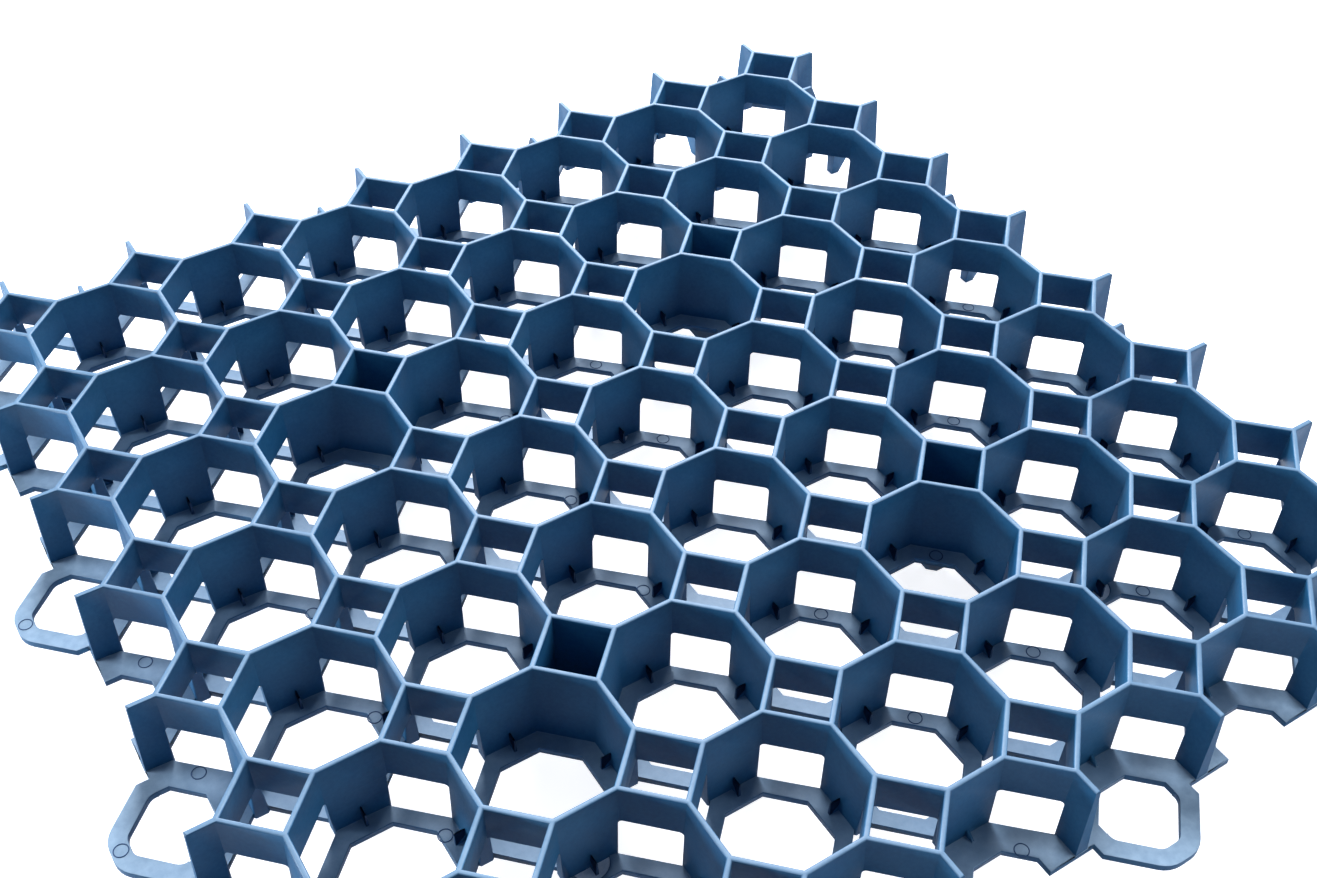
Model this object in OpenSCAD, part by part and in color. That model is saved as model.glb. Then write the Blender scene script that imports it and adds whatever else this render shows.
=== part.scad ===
/* [Grid] */
// Distance between the centres of neighbouring eight-sided cells
pitch = 62.5; // [54:0.5:80]
// Whole eight-sided cells along each side of the panel
cells = 7; // [5:2:9]
// Height from the underside of the base flange to the rim
grid_h = 40; // [32:1:60]
// Thickness of the cell walls at the rim
wall_t = 2.2; // [1.6:0.1:3]
// Thickness of the cell walls at their foot, on the base flange
wall_foot_t = 5.9; // [3.5:0.1:7]
// How far the cut ends of the walls lean inwards from foot to rim
end_lean = 1.9; // [0:0.1:3]

/* [Windows in the square cells] */
// Height of the wall band left above each window
band_h = 17.8; // [12:0.1:24]
// How far a window reaches past the corners of the eight-sided cells
window_margin = 0.1; // [0.1:0.1:0.6]
// Radius of a window's upper corners
window_r = 2; // [0.5:0.5:4]

/* [Base flange] */
// Thickness of the base flange
base_t = 3; // [1.5:0.1:4]
// Width of the flange in a cell, from the middle of the wall to the opening
flange_w = 10.45; // [6:0.05:14]
// Width of the same flange in the open half cells along the edges with loops
edge_flange_w = 15.1; // [8:0.1:17]
// How far the flange stops short of the middle of a square cell's wall
flange_setback = 3.8; // [1.2:0.1:5]
// Reach of a gusset from the middle of its wall
gusset_l = 6.9; // [5:0.1:9]
// Height of a gusset above the flange
gusset_h = 5; // [2:0.5:10]
// Thickness of a gusset
gusset_t = 1.2; // [0.8:0.1:2.5]
// Radius of the round gate dishes in the flange
gate_r = 7.8; // [3:0.1:9]
// Radius of the middle gate dish
gate_mid_r = 4.8; // [3:0.1:9]
// Depth of the gate dishes
gate_depth = 0.6; // [0.2:0.1:1.2]
// Pitches from the middle of the panel to the outer gates along X
gate_x = 2; // [1:1:2]
// Pitches from the middle of the panel to the outer gates along Y
gate_y = 2.5; // [1.5:1:2.5]

/* [Loops] */
// Reach of a loop's opening beyond the edge of the panel
loop_open = 15.2; // [12:0.1:18]
// Width of the flange from the middle of a wall to the side of a loop's opening
loop_flange_w = 13.8; // [8:0.1:17]
// Distance of the opening's slanted ends from the middle of the loop
loop_slant = 13.7; // [12:0.1:17]
// Width of the loop's bar at its sides
loop_side_w = 7.4; // [5:0.1:12]
// Width of the loop's bar at its outer end
loop_end_w = 7.3; // [4:0.1:10]
// Radius of the loop's outer corners
loop_r = 12; // [4:0.5:14]
// Radius of the outer corners of the loop's opening
loop_open_r = 5; // [1:0.5:6]

/* [Hooks] */
// Length of a hook's level top edge, from the middle of its wall
hook_top_l = 6.2; // [4:0.1:8]
// Outward lean of a hook's arm for each millimetre down
hook_lean = 0.45; // [0.3:0.01:0.6]
// Thickness of a hook's arm
hook_arm_t = 2; // [1.5:0.1:3]
// Gap between a neighbour's loop and the raised flange above it
loop_gap = 1; // [0.5:0.1:2]
// Distance of a hook's spike from the edge of the panel, to its inner face
hook_back = 5; // [3:0.1:8]
// Greatest length of a hook's spike along its arm
hook_nose = 11.5; // [7:0.5:13]
// Length of the spike's tip along its arm
hook_tip = 5; // [3:0.5:7]
// Width of the spike across its arm at the top
hook_w = 8; // [5:0.5:10]
// Width of the spike across its arm at the tip
hook_tip_w = 5; // [3:0.5:7]
// Height of the spike's slanted front above its tip
hook_front_h = 12.5; // [8:0.5:20]

/* [Ground spikes] */
// Length of every spike below the base flange
spike_l = 26; // [15:1:40]
// Width of the hollow spikes' tips
spike_tip_w = 5; // [3:0.5:8]

/* [Hidden] */

side_l = pitch * (sqrt(2) - 1);
panel_w = (cells + 1) * pitch;
edge = panel_w / 2;
last_wall = edge - pitch / 2;
cell_places = [for (k = [0 : cells + 1]) k * pitch - edge];
square_places = [for (k = [0 : cells]) k * pitch - last_wall];
inner_cells = [for (k = [1 : cells]) cell_places[k]];
link_cells = [for (k = [1 : 2 : cells]) cell_places[k]];
plain_edge_cells = [for (k = [0 : 2 : cells + 1]) cell_places[k]];
closed_place = square_places[2];

base_z = spike_l;
flange_z = base_z + base_t;
window_z = base_z + grid_h - band_h;
rim_z = base_z + grid_h;
wall_slope = (wall_foot_t - wall_t) / 2 / (rim_z - flange_z);

edge_open_w = pitch / 2 - edge_flange_w;
loop_open_w = pitch / 2 - loop_flange_w;
loop_reach = loop_open + loop_end_w;
hook_inner = pitch / 2 - hook_back;
hook_reach = hook_inner + hook_nose - pitch / 2;
hook_low_z = flange_z + loop_gap;
hook_top_z = hook_low_z + hook_w / 2;
hook_bend_z = hook_top_z + hook_w;
middle = (loop_reach - hook_reach) / 2;
overlap = 1;

// True where a closed cell with a hollow spike stands
function closed(x, y) = abs(x) == abs(closed_place) && abs(y) == abs(closed_place);

// Half length of one side of an eight-sided cell, at the given height
function half_side(z) = (pitch / 2 - wall_t / 2 - wall_slope * (rim_z - z)) * (sqrt(2) - 1);

// Regular octagon with flats across both axes
module octagon(apothem) {
    rotate(22.5)
        circle(r = apothem / cos(22.5), $fn = 8);
}

// Square standing on its corner
module diamond(apothem) {
    rotate(45)
        square(2 * apothem, center = true);
}

// Convex outline with its corners rounded
module rounded(r) {
    offset(r = r, $fn = 32)
        offset(delta = -r)
            children();
}

// Block of the given depth across Y: low_w wide at z = 0, high_w wide at z = h and in the collar above
module leaning_block(low_w, high_w, h, collar, depth) {
    rotate([90, 0, 0])
        linear_extrude(height = depth, center = true)
            polygon([
                [-low_w / 2, 0],
                [low_w / 2, 0],
                [high_w / 2, h],
                [high_w / 2, h + collar],
                [-high_w / 2, h + collar],
                [-high_w / 2, h]
            ]);
}

// Square block with all four sides leaning up to its collar
module square_taper(low_w, high_w, h, collar) {
    depth = max(low_w, high_w);
    intersection() {
        leaning_block(low_w, high_w, h, collar, depth);
        rotate([0, 0, 90])
            leaning_block(low_w, high_w, h, collar, depth);
    }
}

// Repeats a shape made for the +X edge at every second cell along +X and +Y
module at_link_cells(place) {
    for (along = link_cells) {
        translate([place, along, 0])
            children();
        translate([along, place, 0])
            rotate([0, 0, 90])
                children();
    }
}

// Eight-sided hollow of a cell, which narrows towards the foot of its walls
module hollow() {
    low_w = pitch / 2 - wall_t / 2 - wall_slope * (grid_h + overlap);
    high_w = pitch / 2 - wall_t / 2 + wall_slope * overlap;
    translate([0, 0, base_z - overlap])
        rotate([0, 0, 22.5])
            cylinder(h = grid_h + 2 * overlap, r1 = low_w / cos(22.5), r2 = high_w / cos(22.5), $fn = 8);
}

// Opening below the band, through two facing walls of a square cell
module window() {
    half_w = half_side(window_z) + window_margin;
    translate([0, 0, window_z])
        rotate([90, 0, 0])
            linear_extrude(height = side_l + 2 * wall_foot_t, center = true)
                difference() {
                    translate([-half_w, base_z - window_z - overlap])
                        square([2 * half_w, window_z - base_z + overlap]);
                    for (side = [-1, 1])
                        translate([side * half_w, 0])
                            window_corner(side);
                }
}

// Material left in a window's upper corner
module window_corner(side) {
    difference() {
        translate([-side * window_r / 2, -window_r / 2])
            square(window_r, center = true);
        translate([-side * window_r, -window_r])
            circle(r = window_r, $fn = 32);
    }
}

// Space below the band, between the flat ends of the four walls that meet at a square cell
module wall_ends() {
    low_z = base_z - overlap;
    high_z = window_z - window_r;
    low_w = pitch - 2 * half_side(low_z) + 2 * window_margin;
    high_w = pitch - 2 * half_side(high_z) + 2 * window_margin;
    translate([0, 0, low_z])
        intersection() {
            square_taper(low_w, high_w, high_z - low_z, overlap);
            linear_extrude(height = high_z - low_z)
                diamond((side_l + wall_foot_t) / 2 + overlap);
        }
}

// Plan of the square cells that stand between each four eight-sided ones
module square_plan() {
    difference() {
        square(panel_w, center = true);
        for (x = square_places, y = square_places)
            translate([x, y])
                diamond((side_l - wall_t) / 2);
    }
}

// Walls from foot to rim, with leaning cut ends and windows in the open square cells
module walls() {
    difference() {
        translate([0, 0, base_z])
            intersection() {
                linear_extrude(height = grid_h)
                    square_plan();
                square_taper(panel_w, panel_w - 2 * end_lean, grid_h, overlap);
            }
        for (x = cell_places, y = cell_places)
            translate([x, y, 0])
                hollow();
        for (x = square_places, y = square_places)
            if (!closed(x, y))
                translate([x, y, 0]) {
                    wall_ends();
                    for (turn = [45, -45])
                        rotate([0, 0, turn])
                            window();
                }
    }
}

// Outer outline of a loop that reaches out along +X from the edge of the panel
module loop_outline() {
    half_w = loop_open_w + loop_side_w;
    slant = (loop_slant + loop_side_w) * sqrt(2);
    intersection() {
        translate([-overlap, -half_w])
            square([loop_reach + 2 * overlap, 2 * half_w]);
        rounded(loop_r)
            polygon([
                [loop_reach, loop_reach - slant],
                [loop_reach, slant - loop_reach],
                [-pitch, slant + pitch],
                [-pitch, -slant - pitch]
            ]);
    }
}

// Opening of a loop, whose inner half follows the cell
module loop_opening() {
    intersection() {
        translate([-edge_open_w, -loop_open_w])
            square([edge_open_w - overlap, 2 * loop_open_w]);
        diamond(edge_open_w);
    }
    rounded(loop_open_r)
        intersection() {
            square([2 * loop_open, 2 * loop_open_w], center = true);
            diamond(loop_slant);
        }
}

// Half openings at the edge, in the cells that hold neither a loop nor a hook
module plain_edge_openings(place, flange) {
    for (along = plain_edge_cells) {
        translate([place, along])
            octagon(pitch / 2 - flange);
        translate([along, place])
            octagon(pitch / 2 - flange);
    }
}

// Openings of the square cells, wider where no ground spike stands under them
module square_openings() {
    for (x = square_places, y = square_places)
        translate([x, y])
            diamond(closed(x, y) ? (side_l - wall_t) / 2 : side_l / 2 + flange_setback);
}

// Plan of the base flange with its loops, and with free half cells where a neighbour's loops come in
module flange_plan() {
    difference() {
        union() {
            square(panel_w, center = true);
            at_link_cells(edge)
                loop_outline();
        }
        at_link_cells(edge)
            loop_opening();
        at_link_cells(-edge)
            octagon((pitch - wall_t) / 2);
        plain_edge_openings(edge, edge_flange_w);
        plain_edge_openings(-edge, flange_w);
        for (x = inner_cells, y = inner_cells)
            translate([x, y])
                octagon(pitch / 2 - flange_w);
        square_openings();
    }
}

// Plan of the raised flange in the half cells with a hook
module hook_flange_plan() {
    difference() {
        intersection() {
            square(panel_w, center = true);
            at_link_cells(-edge)
                difference() {
                    octagon((pitch - wall_t) / 2);
                    octagon(pitch / 2 - flange_w);
                }
        }
        square_openings();
    }
}

// Shallow round dish left by a moulding gate at the foot of a wall
module gate(r) {
    translate([0, wall_t / 2, flange_z - gate_depth])
        cylinder(r = r, h = gate_depth + overlap, $fn = 64);
}

module base_flange() {
    difference() {
        translate([0, 0, base_z])
            linear_extrude(height = base_t)
                flange_plan();
        for (x = [-gate_x, gate_x], y = [-gate_y, gate_y])
            translate([x * pitch, y * pitch, 0])
                gate(gate_r);
        translate([0, -pitch / 2, 0])
            gate(gate_mid_r);
    }
}

// Flange of the half cells with a hook, raised so that a neighbour's loop lies under it
module hook_flange() {
    translate([0, 0, hook_low_z])
        linear_extrude(height = base_t)
            hook_flange_plan();
}

// Row of gusset pairs along X, one pair astride the foot of each wall
module gusset_row() {
    rotate([90, 0, 0])
        linear_extrude(height = gusset_t, center = true)
            for (x = square_places)
                translate([x, flange_z])
                    polygon([
                        [-gusset_l, -base_t / 2],
                        [gusset_l, -base_t / 2],
                        [gusset_l, 0],
                        [wall_t / 2, gusset_h],
                        [-wall_t / 2, gusset_h],
                        [-gusset_l, 0]
                    ]);
}

module gussets() {
    for (place = inner_cells) {
        translate([0, place, 0])
            gusset_row();
        rotate([0, 0, 90])
            translate([0, place, 0])
                gusset_row();
    }
}

// Closed cell's point: a hollow square spike under its walls, turned as the cell is
module hollow_spike() {
    top_w = side_l + wall_t;
    hollow_w = side_l - wall_t;
    point_h = 2 * wall_t * spike_l / (top_w - spike_tip_w);
    rotate([0, 0, 45])
        difference() {
            square_taper(spike_tip_w, top_w, spike_l, base_t);
            translate([0, 0, point_h])
                square_taper(spike_tip_w, hollow_w, spike_l - point_h, base_t + overlap);
        }
}

// Hook that drops into a neighbour's loop, reaching along -X from the middle of a wall
module hook() {
    rotate([90, 0, 180])
        linear_extrude(height = hook_arm_t, center = true)
            polygon([
                [0, flange_z - base_t / 2],
                [gusset_l, flange_z - base_t / 2],
                [gusset_l, hook_low_z],
                [hook_inner + hook_tip, hook_low_z],
                [hook_inner + hook_tip, hook_top_z],
                [hook_top_l + hook_lean * (rim_z - hook_bend_z), hook_bend_z],
                [hook_top_l, rim_z],
                [0, rim_z]
            ]);
    intersection() {
        rotate([90, 0, 180])
            linear_extrude(height = hook_w, center = true)
                polygon([
                    [hook_inner, 0],
                    [hook_inner + hook_tip, 0],
                    [hook_inner + hook_nose, hook_front_h],
                    [hook_inner + hook_nose, base_z],
                    [hook_inner + hook_tip, hook_top_z],
                    [hook_inner, hook_top_z]
                ]);
        rotate([0, 0, 90])
            leaning_block(hook_tip_w, hook_w, base_z, grid_h, 2 * pitch);
    }
}

module paver_grid() {
    color("#2f3f57")
        translate([-middle, -middle, 0]) {
            walls();
            base_flange();
            hook_flange();
            gussets();
            for (x = square_places, y = square_places)
                if (closed(x, y))
                    translate([x, y, 0])
                        hollow_spike();
            at_link_cells(-last_wall)
                hook();
        }
}

paver_grid();
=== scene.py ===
# %% [markdown]
# A grass paver is a flat panel of open cells that is laid in the ground, filled with soil or
# gravel, and then driven on. This one is a single injection moulding, so the frame holds one
# solid. The frame is loaded first. Nothing made here may change the panel's size.

# %% Load the imported panel
import math
import bmesh
import bpy
from mathutils import Matrix, Vector


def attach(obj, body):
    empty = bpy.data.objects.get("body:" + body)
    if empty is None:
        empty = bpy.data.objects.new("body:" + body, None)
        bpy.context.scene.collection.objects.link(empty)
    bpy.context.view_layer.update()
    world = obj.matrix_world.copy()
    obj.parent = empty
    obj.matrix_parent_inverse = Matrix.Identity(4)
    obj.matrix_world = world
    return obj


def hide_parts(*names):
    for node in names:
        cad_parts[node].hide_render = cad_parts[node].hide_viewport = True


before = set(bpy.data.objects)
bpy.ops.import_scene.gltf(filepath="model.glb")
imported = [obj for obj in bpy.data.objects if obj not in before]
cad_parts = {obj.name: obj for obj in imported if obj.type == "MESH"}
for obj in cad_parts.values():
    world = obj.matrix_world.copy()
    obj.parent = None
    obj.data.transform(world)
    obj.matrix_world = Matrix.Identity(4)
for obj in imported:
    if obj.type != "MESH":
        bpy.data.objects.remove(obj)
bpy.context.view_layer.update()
panel_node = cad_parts["paver_grid"]

# %% [markdown]
# The camera stands where the photographer stood, off the panel's near corner and above it. Its
# place, its turn and its focal length were worked out from the rims and the openings of the cells.
# The rows of the turn are the directions that point right, down and away from the viewer.

# %% Camera
SENSOR_MM = 36
LENS_MM = 41.7165
CAMERA_PLACE = (0.255613, 0.410394, 0.528825)
RIGHT = Vector((-0.8467486, 0.5319362, 0.0077942))
DOWN = Vector((0.3645731, 0.5908813, -0.7196845))
AWAY = Vector((-0.3874317, -0.6065502, -0.6942575))
camera_data = bpy.data.cameras.new("photo_camera")
camera_data.sensor_fit = "HORIZONTAL"
camera_data.sensor_width = SENSOR_MM
camera_data.lens = LENS_MM
camera = bpy.data.objects.new("photo_camera", camera_data)
bpy.context.scene.collection.objects.link(camera)
camera_turn = Matrix((RIGHT, -DOWN, -AWAY)).transposed().to_4x4()
camera.matrix_world = Matrix.Translation(CAMERA_PLACE) @ camera_turn
bpy.context.scene.camera = camera
print("camera at", [round(v, 3) for v in camera.location], "lens", camera_data.lens, "mm")

# %% [markdown]
# A material is a tree of nodes, and every step of it is the same: add a node, set its values, link
# its inputs. One small function does that, and another uses it for arithmetic on links and
# numbers. Colours are written as the hex values that a paint program shows, which are sRGB, and
# one more function turns them into the linear numbers that the nodes want.

# %% Helpers for materials
def linear(hex_colour):
    channels = [int(hex_colour[k:k + 2], 16) / 255 for k in (1, 3, 5)]
    return [c / 12.92 if c <= 0.04045 else ((c + 0.055) / 1.055) ** 2.4 for c in channels] + [1.0]


def add_node(tree, kind, links=None, values=None, **settings):
    node = tree.nodes.new(kind)
    for name, value in settings.items():
        setattr(node, name, value)
    for name, value in (values or {}).items():
        node.inputs[name].default_value = value
    for name, source in (links or {}).items():
        tree.links.new(source, node.inputs[name])
    return node


def combine(tree, operation, *terms):
    node = add_node(tree, "ShaderNodeMath", operation=operation)
    for socket, term in zip(node.inputs, terms):
        if isinstance(term, float):
            socket.default_value = term
        else:
            tree.links.new(term, socket)
    return node.outputs[0]


def new_material(name):
    material = bpy.data.materials.new(name)
    material.use_nodes = True
    material.node_tree.nodes.clear()
    return material, material.node_tree


print("helpers ready: linear, add_node, combine, new_material")

# %% [markdown]
# The panel was photographed on a white sweep that came out pure white. The floor here is a pale
# plane that takes the panel's shadow. What the camera sees of it is lifted by a little light of
# its own, so that it turns white without more light on the panel. Reflections in the panel see a
# quarter of that lift, and the light that the floor throws back at the panel has none of it.

# %% Floor
FLOOR_SIZE = 12.0
FLOOR_LIFT = 0.85
REFLECTED_SHARE = 0.25
bpy.ops.object.select_all(action="DESELECT")
bpy.ops.mesh.primitive_plane_add(size=FLOOR_SIZE, location=(0, 0, 0))
floor = bpy.context.active_object
floor.name = "floor"
floor_paint, tree = new_material("matt_white_sweep")
ray = add_node(tree, "ShaderNodeLightPath").outputs
seen = combine(tree, "MULTIPLY_ADD", ray["Is Glossy Ray"], REFLECTED_SHARE, ray["Is Camera Ray"])
lift = combine(tree, "MULTIPLY", seen, FLOOR_LIFT)
paint = add_node(tree, "ShaderNodeBsdfDiffuse", values={"Color": linear("#d2d6e0")})
glow = add_node(tree, "ShaderNodeEmission", {"Strength": lift})
both = add_node(tree, "ShaderNodeAddShader", {0: paint.outputs[0], 1: glow.outputs[0]})
add_node(tree, "ShaderNodeOutputMaterial", {"Surface": both.outputs[0]})
floor.data.materials.append(floor_paint)
print("floor", FLOOR_SIZE, "m wide")

# %% [markdown]
# The main light is a big softbox that stands high on the far side of the table. It leaves the deep
# walls dark and lays a pale sheen on every edge that faces up, which is what makes the rims and
# the loops of the photo stand out. A low softbox on the left only reaches the outermost walls, and
# two weak ones on the left and on the right keep the inner walls from going black. The world fills
# the rest weakly, and only the camera sees it at full strength, so that the sky behind the floor
# is pale too.

# %% Light
SKY_FILL, SKY_SEEN = 0.17, 1.0


def change_range(tree, value, before=(0, 1), after=(0, 1)):
    ends = {"From Min": before[0], "From Max": before[1],
            "To Min": after[0], "To Max": after[1]}
    return add_node(tree, "ShaderNodeMapRange", {"Value": value}, ends).outputs["Result"]


def softbox(name, place, aim, size, watts):
    data = bpy.data.lights.new(name, "AREA")
    data.shape = "SQUARE"
    data.size = size
    data.energy = watts
    lamp = bpy.data.objects.new(name, data)
    bpy.context.scene.collection.objects.link(lamp)
    lamp.location = place
    lamp.rotation_euler = (Vector(aim) - Vector(place)).to_track_quat("-Z", "Y").to_euler()


world = bpy.data.worlds.new("studio")
bpy.context.scene.world = world
world.use_nodes = True
tree = world.node_tree
tree.nodes.clear()
ray = add_node(tree, "ShaderNodeLightPath").outputs
level = change_range(tree, ray["Is Camera Ray"], after=(SKY_FILL, SKY_SEEN))
sky = add_node(tree, "ShaderNodeBackground", {"Strength": level}, {"Color": linear("#e8f1ff")})
add_node(tree, "ShaderNodeOutputWorld", {"Surface": sky.outputs[0]})
softbox("far_softbox", place=(-1.0, -1.62, 1.85), aim=(0, 0, 0), size=1.3, watts=165)
softbox("low_left_softbox", place=(1.6, -0.8, 0.2), aim=(0, 0, 0.05), size=0.3, watts=32)
softbox("left_softbox", place=(1.2, -0.7, 1.1), aim=(0.1, 0, 0), size=0.8, watts=12)
softbox("right_softbox", place=(-1.3, 1.1, 1.0), aim=(0, 0, 0), size=1.0, watts=21)

# %% [markdown]
# The panel itself is already right in shape, but its edges are razor sharp, and no moulding has
# such edges: the tool rounds them by a few tenths of a millimetre, and the light catches there.
# The node's own mesh may not be changed, so the work is done on a copy. The copy's loose triangles
# are merged first. Then the sharp edges that lie level with the rim or with the top of a flange
# get a weight, half as much at the flanges: they face the sky and show it, while the windows'
# edges do not.

# %% Copy of the panel with weighted edges
MM = 0.001
MERGE_WITHIN = 0.002 * MM
LEVEL_WITHIN = 0.01 * MM
SHORTEST_ROUNDED = 0.9 * MM
SHARP = math.radians(35)
RIM_Z, RAISED_FLANGE_Z, FLANGE_Z = 66 * MM, 33 * MM, 29 * MM
EDGE_WEIGHTS = {RIM_Z: 1.0, RAISED_FLANGE_Z: 0.5, FLANGE_Z: 0.5}
panel = panel_node.copy()
panel.data = panel_node.data.copy()
panel.name = "paver_panel"
panel.data.name = "paver_panel"
bpy.context.scene.collection.objects.link(panel)
bpy.ops.object.select_all(action="DESELECT")
panel.select_set(True)
bpy.context.view_layer.objects.active = panel
print("copied", len(panel.data.vertices), "points")
bpy.ops.object.mode_set(mode="EDIT")
bpy.ops.mesh.select_all(action="SELECT")
bpy.ops.mesh.remove_doubles(threshold=MERGE_WITHIN)
mesh = bmesh.from_edit_mesh(panel.data)
weight = mesh.edges.layers.float.new("bevel_weight_edge")
weighted_edges = 0
for edge in mesh.edges:
    for z, share in EDGE_WEIGHTS.items():
        is_level = all(abs(v.co.z - z) < LEVEL_WITHIN for v in edge.verts)
        long_enough = edge.calc_length() > SHORTEST_ROUNDED
        if is_level and long_enough and edge.calc_face_angle() > SHARP:
            edge[weight] = share
            weighted_edges += 1
bmesh.update_edit_mesh(panel.data)
bpy.ops.object.mode_set(mode="OBJECT")
print("merged to", len(panel.data.vertices), "points;", weighted_edges, "edges to round")

# %% [markdown]
# A Bevel modifier rounds the edges by their weights. Smooth shading alone would bend the light on
# the big flat walls towards the tiny roundings beside them, so a Weighted Normal modifier lets the
# big faces decide, and only the roundings are shaded as round.

# %% Rounded edges
EDGE_ROUND = 0.7 * MM
ROUND_STEPS = 3
BIG_FACES_DECIDE = 100
rounding = panel.modifiers.new("edge_rounding", "BEVEL")
rounding.width = EDGE_ROUND
rounding.segments = ROUND_STEPS
rounding.limit_method = "WEIGHT"
rounding.use_clamp_overlap = False
bpy.ops.object.modifier_apply(modifier=rounding.name)
bpy.ops.object.shade_smooth_by_angle(angle=SHARP)
evening = panel.modifiers.new("even_walls", "WEIGHTED_NORMAL")
evening.mode = "FACE_AREA"
evening.weight = BIG_FACES_DECIDE
evening.keep_sharp = True
bpy.ops.object.modifier_apply(modifier=evening.name)
print("rounded to", sum(len(p.vertices) - 2 for p in panel.data.polygons), "triangles")

# %% [markdown]
# Panels of this kind are mostly moulded from recycled polyethylene, and this one is dark slate
# blue. Its colour isn't even: the mixed granulate leaves broad, faint clouds of lighter and darker
# blue, and the rough mould leaves fine specks. Two noises of these sizes are mixed, and a Color
# Ramp turns the mix into the two blues.

# %% Mottled colour
CLOUD, SPECK = 40 * MM, 1.6 * MM
SPECK_SHARE = 0.45
DARK_AT, LIGHT_AT = 0.38, 0.62


def noise(tree, spot, size, detail, roughness=0.5):
    values = {"Scale": 1 / size, "Detail": detail, "Roughness": roughness}
    return add_node(tree, "ShaderNodeTexNoise", {"Vector": spot}, values).outputs["Fac"]


def mottled(tree, spot, dark, light):
    clouds = noise(tree, spot, CLOUD, detail=4.0, roughness=0.55)
    specks = noise(tree, spot, SPECK, detail=3.0, roughness=0.7)
    mix = add_node(tree, "ShaderNodeMix", {"A": clouds, "B": specks}, {"Factor": SPECK_SHARE},
                   data_type="FLOAT")
    tint = add_node(tree, "ShaderNodeValToRGB", {"Fac": mix.outputs["Result"]})
    stops = zip(tint.color_ramp.elements, (DARK_AT, LIGHT_AT), (dark, light))
    for stop, position, colour in stops:
        stop.position = position
        stop.color = linear(colour)
    return tint.outputs["Color"]


print("clouds of", CLOUD / MM, "mm and specks of", SPECK / MM, "mm")

# %% [markdown]
# The rims, loops and flange, which face up, are painted paler. This is painted top light, the
# light that faces looking up catch, and partly scuffing from stacking and handling, which turns
# such plastic paler. The height part of the surface's direction says which faces look up, and a
# pattern of a few millimetres breaks the pale colour up. The loops, which stand out of a stack,
# get all of it. The rims and the flange inside the cells get about half, as painted shade, so the
# pale colour falls with the height near the rim, and with the distance to the two edges that carry
# the loops.

# %% Painted top light and scuffs on what faces up
LEVEL_ENOUGH = 0.95
PATCH = 4 * MM
PATCH_RANGE = (0.3, 0.7)
LEAST_PALE = 0.75
BELOW_RIM, AT_RIM = 60 * MM, 65 * MM
INSIDE, OUTSIDE = 215 * MM, 240 * MM
RIM_LIGHT_AND_WEAR, INNER_LIGHT_AND_WEAR = 0.45, 0.6


def top_light_and_scuffs(tree, place, most, steepest):
    facing = add_node(tree, "ShaderNodeSeparateXYZ", {"Vector": place["Normal"]}).outputs
    # Painted top light: faces that look up get the pale colour.
    looks_up = change_range(tree, facing["Z"], before=(steepest, LEVEL_ENOUGH))
    patches = noise(tree, place["Object"], PATCH, detail=3.0, roughness=0.6)
    paleness = change_range(tree, patches, PATCH_RANGE, (LEAST_PALE * most, most))
    spot = add_node(tree, "ShaderNodeSeparateXYZ", {"Vector": place["Object"]}).outputs
    # Painted shade: less of the pale colour at the rim and inside the cells.
    by_height = change_range(tree, spot["Z"], (BELOW_RIM, AT_RIM), (1.0, RIM_LIGHT_AND_WEAR))
    reach = combine(tree, "MAXIMUM", spot["X"], spot["Y"])
    by_reach = change_range(tree, reach, (INSIDE, OUTSIDE), (INNER_LIGHT_AND_WEAR, 1.0))
    open_share = combine(tree, "MINIMUM", by_height, by_reach)
    exposed = combine(tree, "MULTIPLY", looks_up, open_share)
    return combine(tree, "MULTIPLY", exposed, paleness)


print("wear of the rims", RIM_LIGHT_AND_WEAR, "and inside the cells", INNER_LIGHT_AND_WEAR)

# %% [markdown]
# Left matt, such plastic has an IOR of about 1.5, weak and broad reflections, and a fine mould
# texture that changes the gloss and stands out by a few hundredths of a millimetre. One function
# makes all the plastics of the panel, because they only differ in their colours, in how much
# painted top light and scuffing they get, in their gloss, and in how steep a face may be and still
# get it.
# Its Mix node has a set of sockets for each kind of value, and the numbers of those for colours
# are named first.

# %% Moulded plastic
GRAIN = 0.8 * MM
GRAIN_HEIGHT = 0.06 * MM
GRAIN_STRENGTH = 0.3
IOR = 1.5
SHEEN = 0.25
STEEPEST = 0.5
COLOUR_A, COLOUR_B, COLOUR_OUT = 6, 7, 2


def polymer(name, dark, light, lit_and_scuffed, light_and_wear, roughness, steepest=STEEPEST):
    material, tree = new_material(name)
    place = add_node(tree, "ShaderNodeTexCoord").outputs
    clean = mottled(tree, place["Object"], dark, light)
    light_and_scuff = top_light_and_scuffs(tree, place, light_and_wear, steepest)
    # The pale colour mixed in here is painted top light, partly scuffing.
    colour = add_node(tree, "ShaderNodeMix", {"Factor": light_and_scuff, COLOUR_A: clean},
                      {COLOUR_B: linear(lit_and_scuffed)}, data_type="RGBA")
    grain = noise(tree, place["Object"], GRAIN, detail=2.0)
    gloss = change_range(tree, grain, after=roughness)
    relief = add_node(tree, "ShaderNodeBump", {"Height": grain},
                      {"Strength": GRAIN_STRENGTH, "Distance": GRAIN_HEIGHT})
    surface = add_node(tree, "ShaderNodeBsdfPrincipled",
                       {"Base Color": colour.outputs[COLOUR_OUT], "Roughness": gloss,
                        "Normal": relief.outputs["Normal"]},
                       {"IOR": IOR, "Specular IOR Level": SHEEN})
    add_node(tree, "ShaderNodeOutputMaterial", {"Surface": surface.outputs[0]})
    return material


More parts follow.
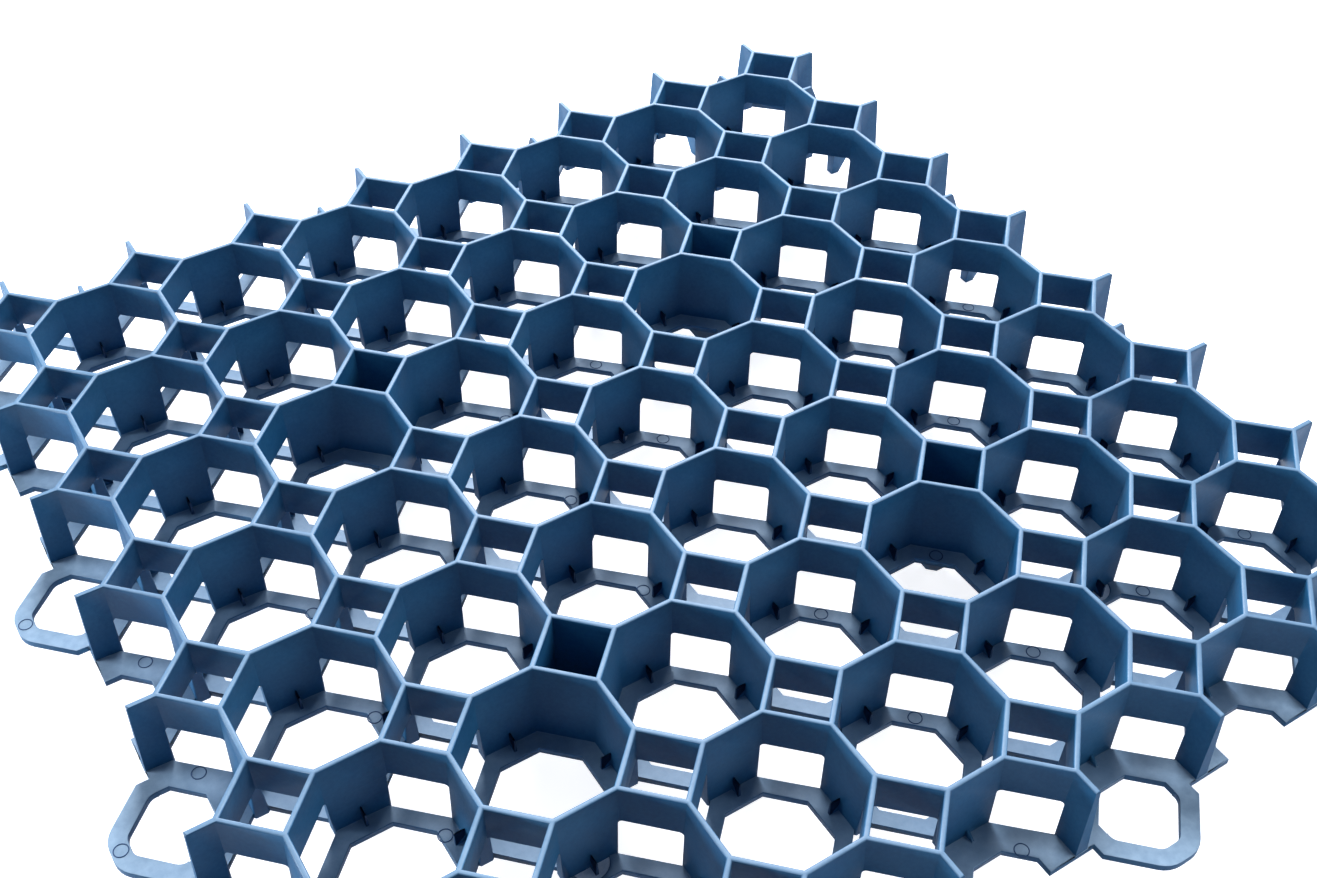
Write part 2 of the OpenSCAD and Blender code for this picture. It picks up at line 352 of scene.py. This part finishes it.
# The pale #8aa5c0 is painted top light on upward faces, partly scuffs.
plastic = polymer("moulded_polyethylene", dark="#144a73", light="#23597f", lit_and_scuffed="#8aa5c0",
                  light_and_wear=1.0, roughness=(0.38, 0.55))
panel.data.materials.clear()
panel.data.materials.append(plastic)
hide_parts("paver_grid")
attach(panel, "root")
print("plastic on", panel.name)

# %% [markdown]
# Small pieces repeat over the panel: rings, crests and gate marks. Their places are counted in
# cells along the two rows, from the far corner, and turned into metres on top of the flange. A
# pattern that stands at the origin is copied to all its places, and the copies are joined into one
# piece.

# %% Helpers for repeated pieces
PITCH = 62.5 * MM
MIDDLE_CELL = 3
SHIFT = 8.0 * MM


def on_flange(i, j):
    return ((i - MIDDLE_CELL) * PITCH - SHIFT, (j - MIDDLE_CELL) * PITCH - SHIFT, FLANGE_Z)


def scatter(pattern, places):
    pieces = []
    for n, (place, turn) in enumerate(places):
        piece = pattern
        if n:
            piece = pattern.copy()
            piece.data = pattern.data.copy()
            bpy.context.scene.collection.objects.link(piece)
        piece.location = on_flange(*place)
        piece.rotation_euler = (0, 0, turn)
        pieces.append(piece)
    bpy.ops.object.select_all(action="DESELECT")
    for piece in pieces:
        piece.select_set(True)
    bpy.context.view_layer.objects.active = pattern
    bpy.ops.object.join()
    return len(pieces)


def settle(piece, name, material):
    bpy.ops.object.transform_apply(location=True, rotation=True, scale=True)
    piece.name = name
    piece.data.name = name
    piece.data.materials.clear()
    piece.data.materials.append(material)
    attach(piece, "root")


print("pitch", PITCH / MM, "mm; cell 0, 0 at", [round(v, 4) for v in on_flange(0, 0)])

# %% [markdown]
# Round pins push the moulding out of its tool, and each pin leaves a fine ring where plastic crept
# into the gap round it. The rings lie on the far slanted strip of many cells, beside some gussets
# and on the loops, and which cells have one follows the photo. One is modelled as a torus whose
# lower part is cut off and closed, and not as a bump in the material, which would have no outline
# and cast no shadow.

# %% Rings of the ejector pins
RING_R, RING_STEPS = 2.8 * MM, 40
BEAD_R, BEAD_STEPS = 0.24 * MM, 10
BEAD_SUNK = 0.1 * MM
BEAD_SMOOTH = math.radians(50)
FAR_STRIP = 0.275
BESIDE_GUSSET = (0.363, 0.085)
ON_LOOP = 7.3
STRIP_CELLS = ((3, 2), (3, 3), (7, 3), (7, 4), (2, 5), (3, 5),
               (0, 3), (1, 4), (0, 6), (1, 6), (2, 6), (3, 6))
GUSSET_CELLS = ((4, 2), (4, 3), (4, 4), (6, 3), (6, 4), (6, 5))
HALF_CELL_RING = (2.79, 6.8)
X_LOOPS, Y_LOOPS = (0, 2, 4, 6), (0, 4, 6)
spots = [(i - FAR_STRIP, j - FAR_STRIP) for i, j in STRIP_CELLS] + [HALF_CELL_RING]
spots += [(i - BESIDE_GUSSET[0], j - BESIDE_GUSSET[1]) for i, j in GUSSET_CELLS]
spots += [(ON_LOOP, j) for j in X_LOOPS] + [(i, ON_LOOP) for i in Y_LOOPS]
bpy.ops.object.select_all(action="DESELECT")
bpy.ops.mesh.primitive_torus_add(major_segments=RING_STEPS, minor_segments=BEAD_STEPS,
                                 major_radius=RING_R, minor_radius=BEAD_R, location=(0, 0, 0))
ring = bpy.context.active_object
bpy.ops.object.mode_set(mode="EDIT")
bpy.ops.mesh.select_all(action="SELECT")
bpy.ops.mesh.bisect(plane_co=(0, 0, -BEAD_SUNK), plane_no=(0, 0, 1), use_fill=True,
                    clear_inner=True)
bpy.ops.object.mode_set(mode="OBJECT")
bpy.ops.object.shade_smooth_by_angle(angle=BEAD_SMOOTH)
count = scatter(ring, [(spot, 0) for spot in spots])
# The rings are painted darker than the plastic: painted shade for the shadow in the gap round each
# ring.
ring_shade = polymer("ejector_line_painted_shade", dark="#15335a", light="#1f4470", lit_and_scuffed="#2b5078",
                 light_and_wear=0.6, roughness=(0.5, 0.7))
settle(ring, "ejector_rings", ring_shade)
print(count, "rings with", len(ring.data.polygons), "faces")

# %% [markdown]
# A thin gusset braces the foot of every full wall, in the middle of each of its two sides. In the
# photo its crest stands higher up the wall than the frame's gusset does, and it looks darker than
# the wall, because the flange's light doesn't reach its sides. A blade is cut from a cube by one
# slanted cut, its crest is narrowed as a moulding's draft narrows it, and its edges are rounded.
# The first one is made as if its wall stood at the origin, and is copied to the four walls of
# every whole cell.

# %% Crests of the gussets
CELLS = 7
GUSSET_FROM, GUSSET_TO = 1.6 * MM, 7.1 * MM
GUSSET_T = 1.3 * MM
GUSSET_H = 7.0 * MM
GUSSET_SUNK = 0.5 * MM
GUSSET_TOE = 0.4 * MM
CREST_AT = 3.1 * MM
CREST_SHARE = 0.4
CREST_ROUND, CREST_STEPS = 0.12 * MM, 2
SMOOTH = math.radians(30)
WALL_FEET = [(0.5, 0, 180), (-0.5, 0, 0), (0, 0.5, -90), (0, -0.5, 90)]
bpy.ops.object.select_all(action="DESELECT")
bpy.ops.mesh.primitive_cube_add(size=1, location=(0, 0, 0))
blade = bpy.context.active_object
bpy.ops.object.mode_set(mode="EDIT")
bpy.ops.mesh.select_all(action="SELECT")
bpy.ops.transform.resize(value=(GUSSET_TO - GUSSET_FROM, GUSSET_T, GUSSET_H + GUSSET_SUNK))
bpy.ops.transform.translate(
    value=((GUSSET_FROM + GUSSET_TO) / 2, 0, (GUSSET_H - GUSSET_SUNK) / 2))
bpy.ops.mesh.bisect(plane_co=(GUSSET_TO, 0, GUSSET_TOE),
                    plane_no=(GUSSET_H - GUSSET_TOE, 0, GUSSET_TO - CREST_AT),
                    use_fill=True, clear_outer=True)
bpy.ops.mesh.select_mode(type="VERT")
crest = bmesh.from_edit_mesh(blade.data)
for point in crest.verts:
    point.select = point.co.z > GUSSET_H / 2
crest.select_flush_mode()
bmesh.update_edit_mesh(blade.data)
bpy.ops.transform.resize(value=(1, CREST_SHARE, 1))
bpy.ops.object.mode_set(mode="OBJECT")
soft = blade.modifiers.new("soft_edges", "BEVEL")
soft.width = CREST_ROUND
soft.segments = CREST_STEPS
bpy.ops.object.modifier_apply(modifier=soft.name)
bpy.ops.object.shade_smooth_by_angle(angle=SMOOTH)
gusset_places = [((i + di, j + dj), math.radians(turn))
                 for i in range(CELLS) for j in range(CELLS) for di, dj, turn in WALL_FEET]
count = scatter(blade, gusset_places)
# Painted shade: the crests are painted darker than the wall, for sides the light doesn't reach;
# their pale crest is painted top light.
shaded = polymer("shaded_polyethylene", dark="#0c2f50", light="#143d63", lit_and_scuffed="#8fb0d2",
                 light_and_wear=1.0, roughness=(0.45, 0.6), steepest=0.2)
settle(blade, "gusset_crests", shaded)
print(count, "crests with", len(blade.data.polygons), "faces")

# %% [markdown]
# The melt enters the tool through five gates, and each leaves a shallow round dish at the foot of
# a wall. Plastic that is torn off there turns pale and glossy, which is called stress whitening.
# The dish itself is in the panel; its skin is modelled here as a thin disc whose top is inset
# twice and pushed down, so that it catches the light as a hollow does. The top is the face that
# looks up and has more corners than the faces of the rings that the insets leave round it.

# %% Skins of the gate dishes
GATE_R, MIDDLE_GATE_R = 7.5 * MM, 4.5 * MM
GATE_STEPS = 64
GATE_DEPTH = 0.6 * MM
SKIN_T = 0.3 * MM
WALL_HALF_T = 1.1 * MM
INSET_AND_DROP = ((0.15, 0.04 * MM), (0.3, 0.06 * MM))
FACES_UP = 0.9
RING_FACE_CORNERS = 4


def select_top(piece):
    mesh = bmesh.from_edit_mesh(piece.data)
    for face in mesh.faces:
        face.select = face.normal.z > FACES_UP and len(face.verts) > RING_FACE_CORNERS
    bmesh.update_edit_mesh(piece.data)


whitened = polymer("stress_whitened_polyethylene", dark="#a9bdd8", light="#cbd8e8",
                   lit_and_scuffed="#e4ecf5", light_and_wear=0.7, roughness=(0.22, 0.34))
gates = [(i, j, GATE_R) for i in (1, 5) for j in (0.5, 5.5)] + [(3, 2.5, MIDDLE_GATE_R)]
for n, (i, j, radius) in enumerate(gates, 1):
    x, y, z = on_flange(i, j)
    bpy.ops.object.select_all(action="DESELECT")
    bpy.ops.mesh.primitive_cylinder_add(
        vertices=GATE_STEPS, radius=radius, depth=SKIN_T, end_fill_type="NGON",
        location=(x, y + WALL_HALF_T, z - GATE_DEPTH + SKIN_T / 2))
    skin = bpy.context.active_object
    bpy.ops.object.mode_set(mode="EDIT")
    bpy.ops.mesh.select_mode(type="FACE")
    for share, drop in INSET_AND_DROP:
        select_top(skin)
        bpy.ops.mesh.inset(thickness=share * radius)
        bpy.ops.transform.translate(value=(0, 0, -drop))
    bpy.ops.object.mode_set(mode="OBJECT")
    bpy.ops.object.shade_smooth_by_angle(angle=SMOOTH)
    settle(skin, f"gate_skin_{n}", whitened)
print(len(gates), "gate skins")

# %% [markdown]
# Last, Blender's output is set to show colours as they are written.

# %% Finish
bpy.context.scene.view_settings.view_transform = "Standard"
